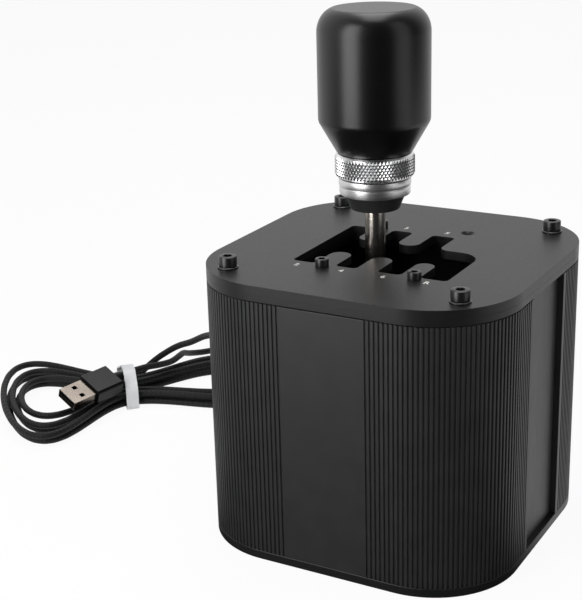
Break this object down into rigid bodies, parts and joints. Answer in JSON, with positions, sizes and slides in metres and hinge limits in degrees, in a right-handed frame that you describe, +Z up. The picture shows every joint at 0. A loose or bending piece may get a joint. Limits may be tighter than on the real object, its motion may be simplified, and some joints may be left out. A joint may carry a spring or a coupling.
{
  "type": "sim racing gear shifter",
  "caption": "Gated gear shifter for sim racing: ribbed metal case, H-pattern gate plate, gimballed lever with a bottle-shaped knob on a knurled lock ring, and a coiled USB lead.",
  "frame": {"origin": "centre of the case's underside", "axes": "+X to the right, +Y to the back (the ribbed front faces -Y), +Z up"},
  "size_m": [0.3019, 0.1846, 0.2062],
  "materials": {
    "case_shell": "bead-blasted black anodised",
    "case_plate": "satin black powder coat",
    "side_panel": "dark grey anodised",
    "black_screw": "black oxide",
    "washer": "dull zinc",
    "bare_aluminium": "machined",
    "steel": "ground",
    "bronze": "sintered bronze",
    "spring_steel": "bright spring steel",
    "board": "green solder mask",
    "chip": "black moulded",
    "white_plastic": "natural nylon",
    "black_plastic": "satin moulded",
    "braid": "black braid",
    "rubber": "moulded rubber",
    "tie": "white paper-covered wire strap",
    "plug_steel": "nickel plated",
    "gold": "gold plated",
    "shaft_steel": "polished",
    "collar": "turned, silver anodised",
    "cone": "black anodised",
    "ring": "knurled, silver anodised",
    "knob": "satin black anodised",
    "insert": "threaded brass"
  },
  "bodies": {
    "case": {"bottom_plate": "case_plate", "front_shell": "case_shell", "rear_shell": "case_shell", "left_panel": "side_panel", "right_panel": "side_panel", "top_frame": "case_plate", "top_plate": "case_plate", "corner_screws": "black_screw", "corner_washers": "washer", "base_screws": "black_screw", "gate_screws": "black_screw", "front_bracket": "bare_aluminium", "rear_bracket": "bare_aluminium", "bracket_screws": "steel", "bracket_bushes": "bronze", "centring_spring": "spring_steel", "spring_stud": "steel", "sensor_board": "board", "hall_sensor": "chip", "sensor_spacers": "white_plastic", "sensor_screws": "steel", "controller_board": "board", "controller_chip": "chip", "board_headers": "white_plastic", "board_standoffs": "bronze", "board_screws": "steel", "reset_switch": "black_plastic", "sensor_lead": "black_plastic", "inner_lead": "black_plastic", "strain_relief": "rubber", "gland_nut": "black_plastic", "cord_lead": "braid", "cord_hank": "braid", "cord_tail": "braid", "hank_tie": "tie", "usb_grip": "black_plastic", "usb_shell": "plug_steel", "usb_tongue": "black_plastic", "usb_contacts": "gold"},
    "cradle": {"cradle_frame": "bare_aluminium", "trunnion_pins": "steel", "spring_arm": "bare_aluminium", "detent_spring": "spring_steel", "detent_screw": "steel"},
    "lever": {"lever_shaft": "shaft_steel", "pivot_block": "bare_aluminium", "cross_pin": "steel", "pin_clip": "spring_steel", "grub_screw": "black_screw", "detent_sector": "steel", "lever_magnet": "plug_steel", "shaft_cone": "cone", "shaft_collar": "collar", "knob_sleeve": "black_screw"},
    "knob": {"knob": "knob", "knob_insert": "insert"},
    "lock_ring": {"lock_ring": "ring"},
    "reset_button": {"reset_button": "white_plastic"}
  },
  "joints": [
    {"name": "select", "type": "hinge", "parent": "case", "child": "cradle", "pos_m": [-0.007, -0.003, 0.02], "axis": [0, 1, 0], "range_deg": [-11.22, 21.64], "stiffness_Nm_per_rad": 1.5, "deforming": ["centring_spring"]},
    {"name": "shift", "type": "hinge", "parent": "cradle", "child": "lever", "pos_m": [-0.007, -0.003, 0.02], "axis": [1, 0, 0], "range_deg": [-11, 11], "deforming": ["detent_spring"]},
    {"name": "knob_turn", "type": "hinge", "parent": "lever", "child": "knob", "pos_m": [-0.007, -0.003, 0.17], "axis": [0, 0, 1], "continuous": true},
    {"name": "lock_ring_turn", "type": "hinge", "parent": "lever", "child": "lock_ring", "pos_m": [-0.007, -0.003, 0.147], "axis": [0, 0, 1], "continuous": true},
    {"name": "reset_press", "type": "slide", "parent": "case", "child": "reset_button", "axis": [0, 0, -1], "range_m": [0, 0.0003], "stiffness_N_per_m": 500}
  ]
}
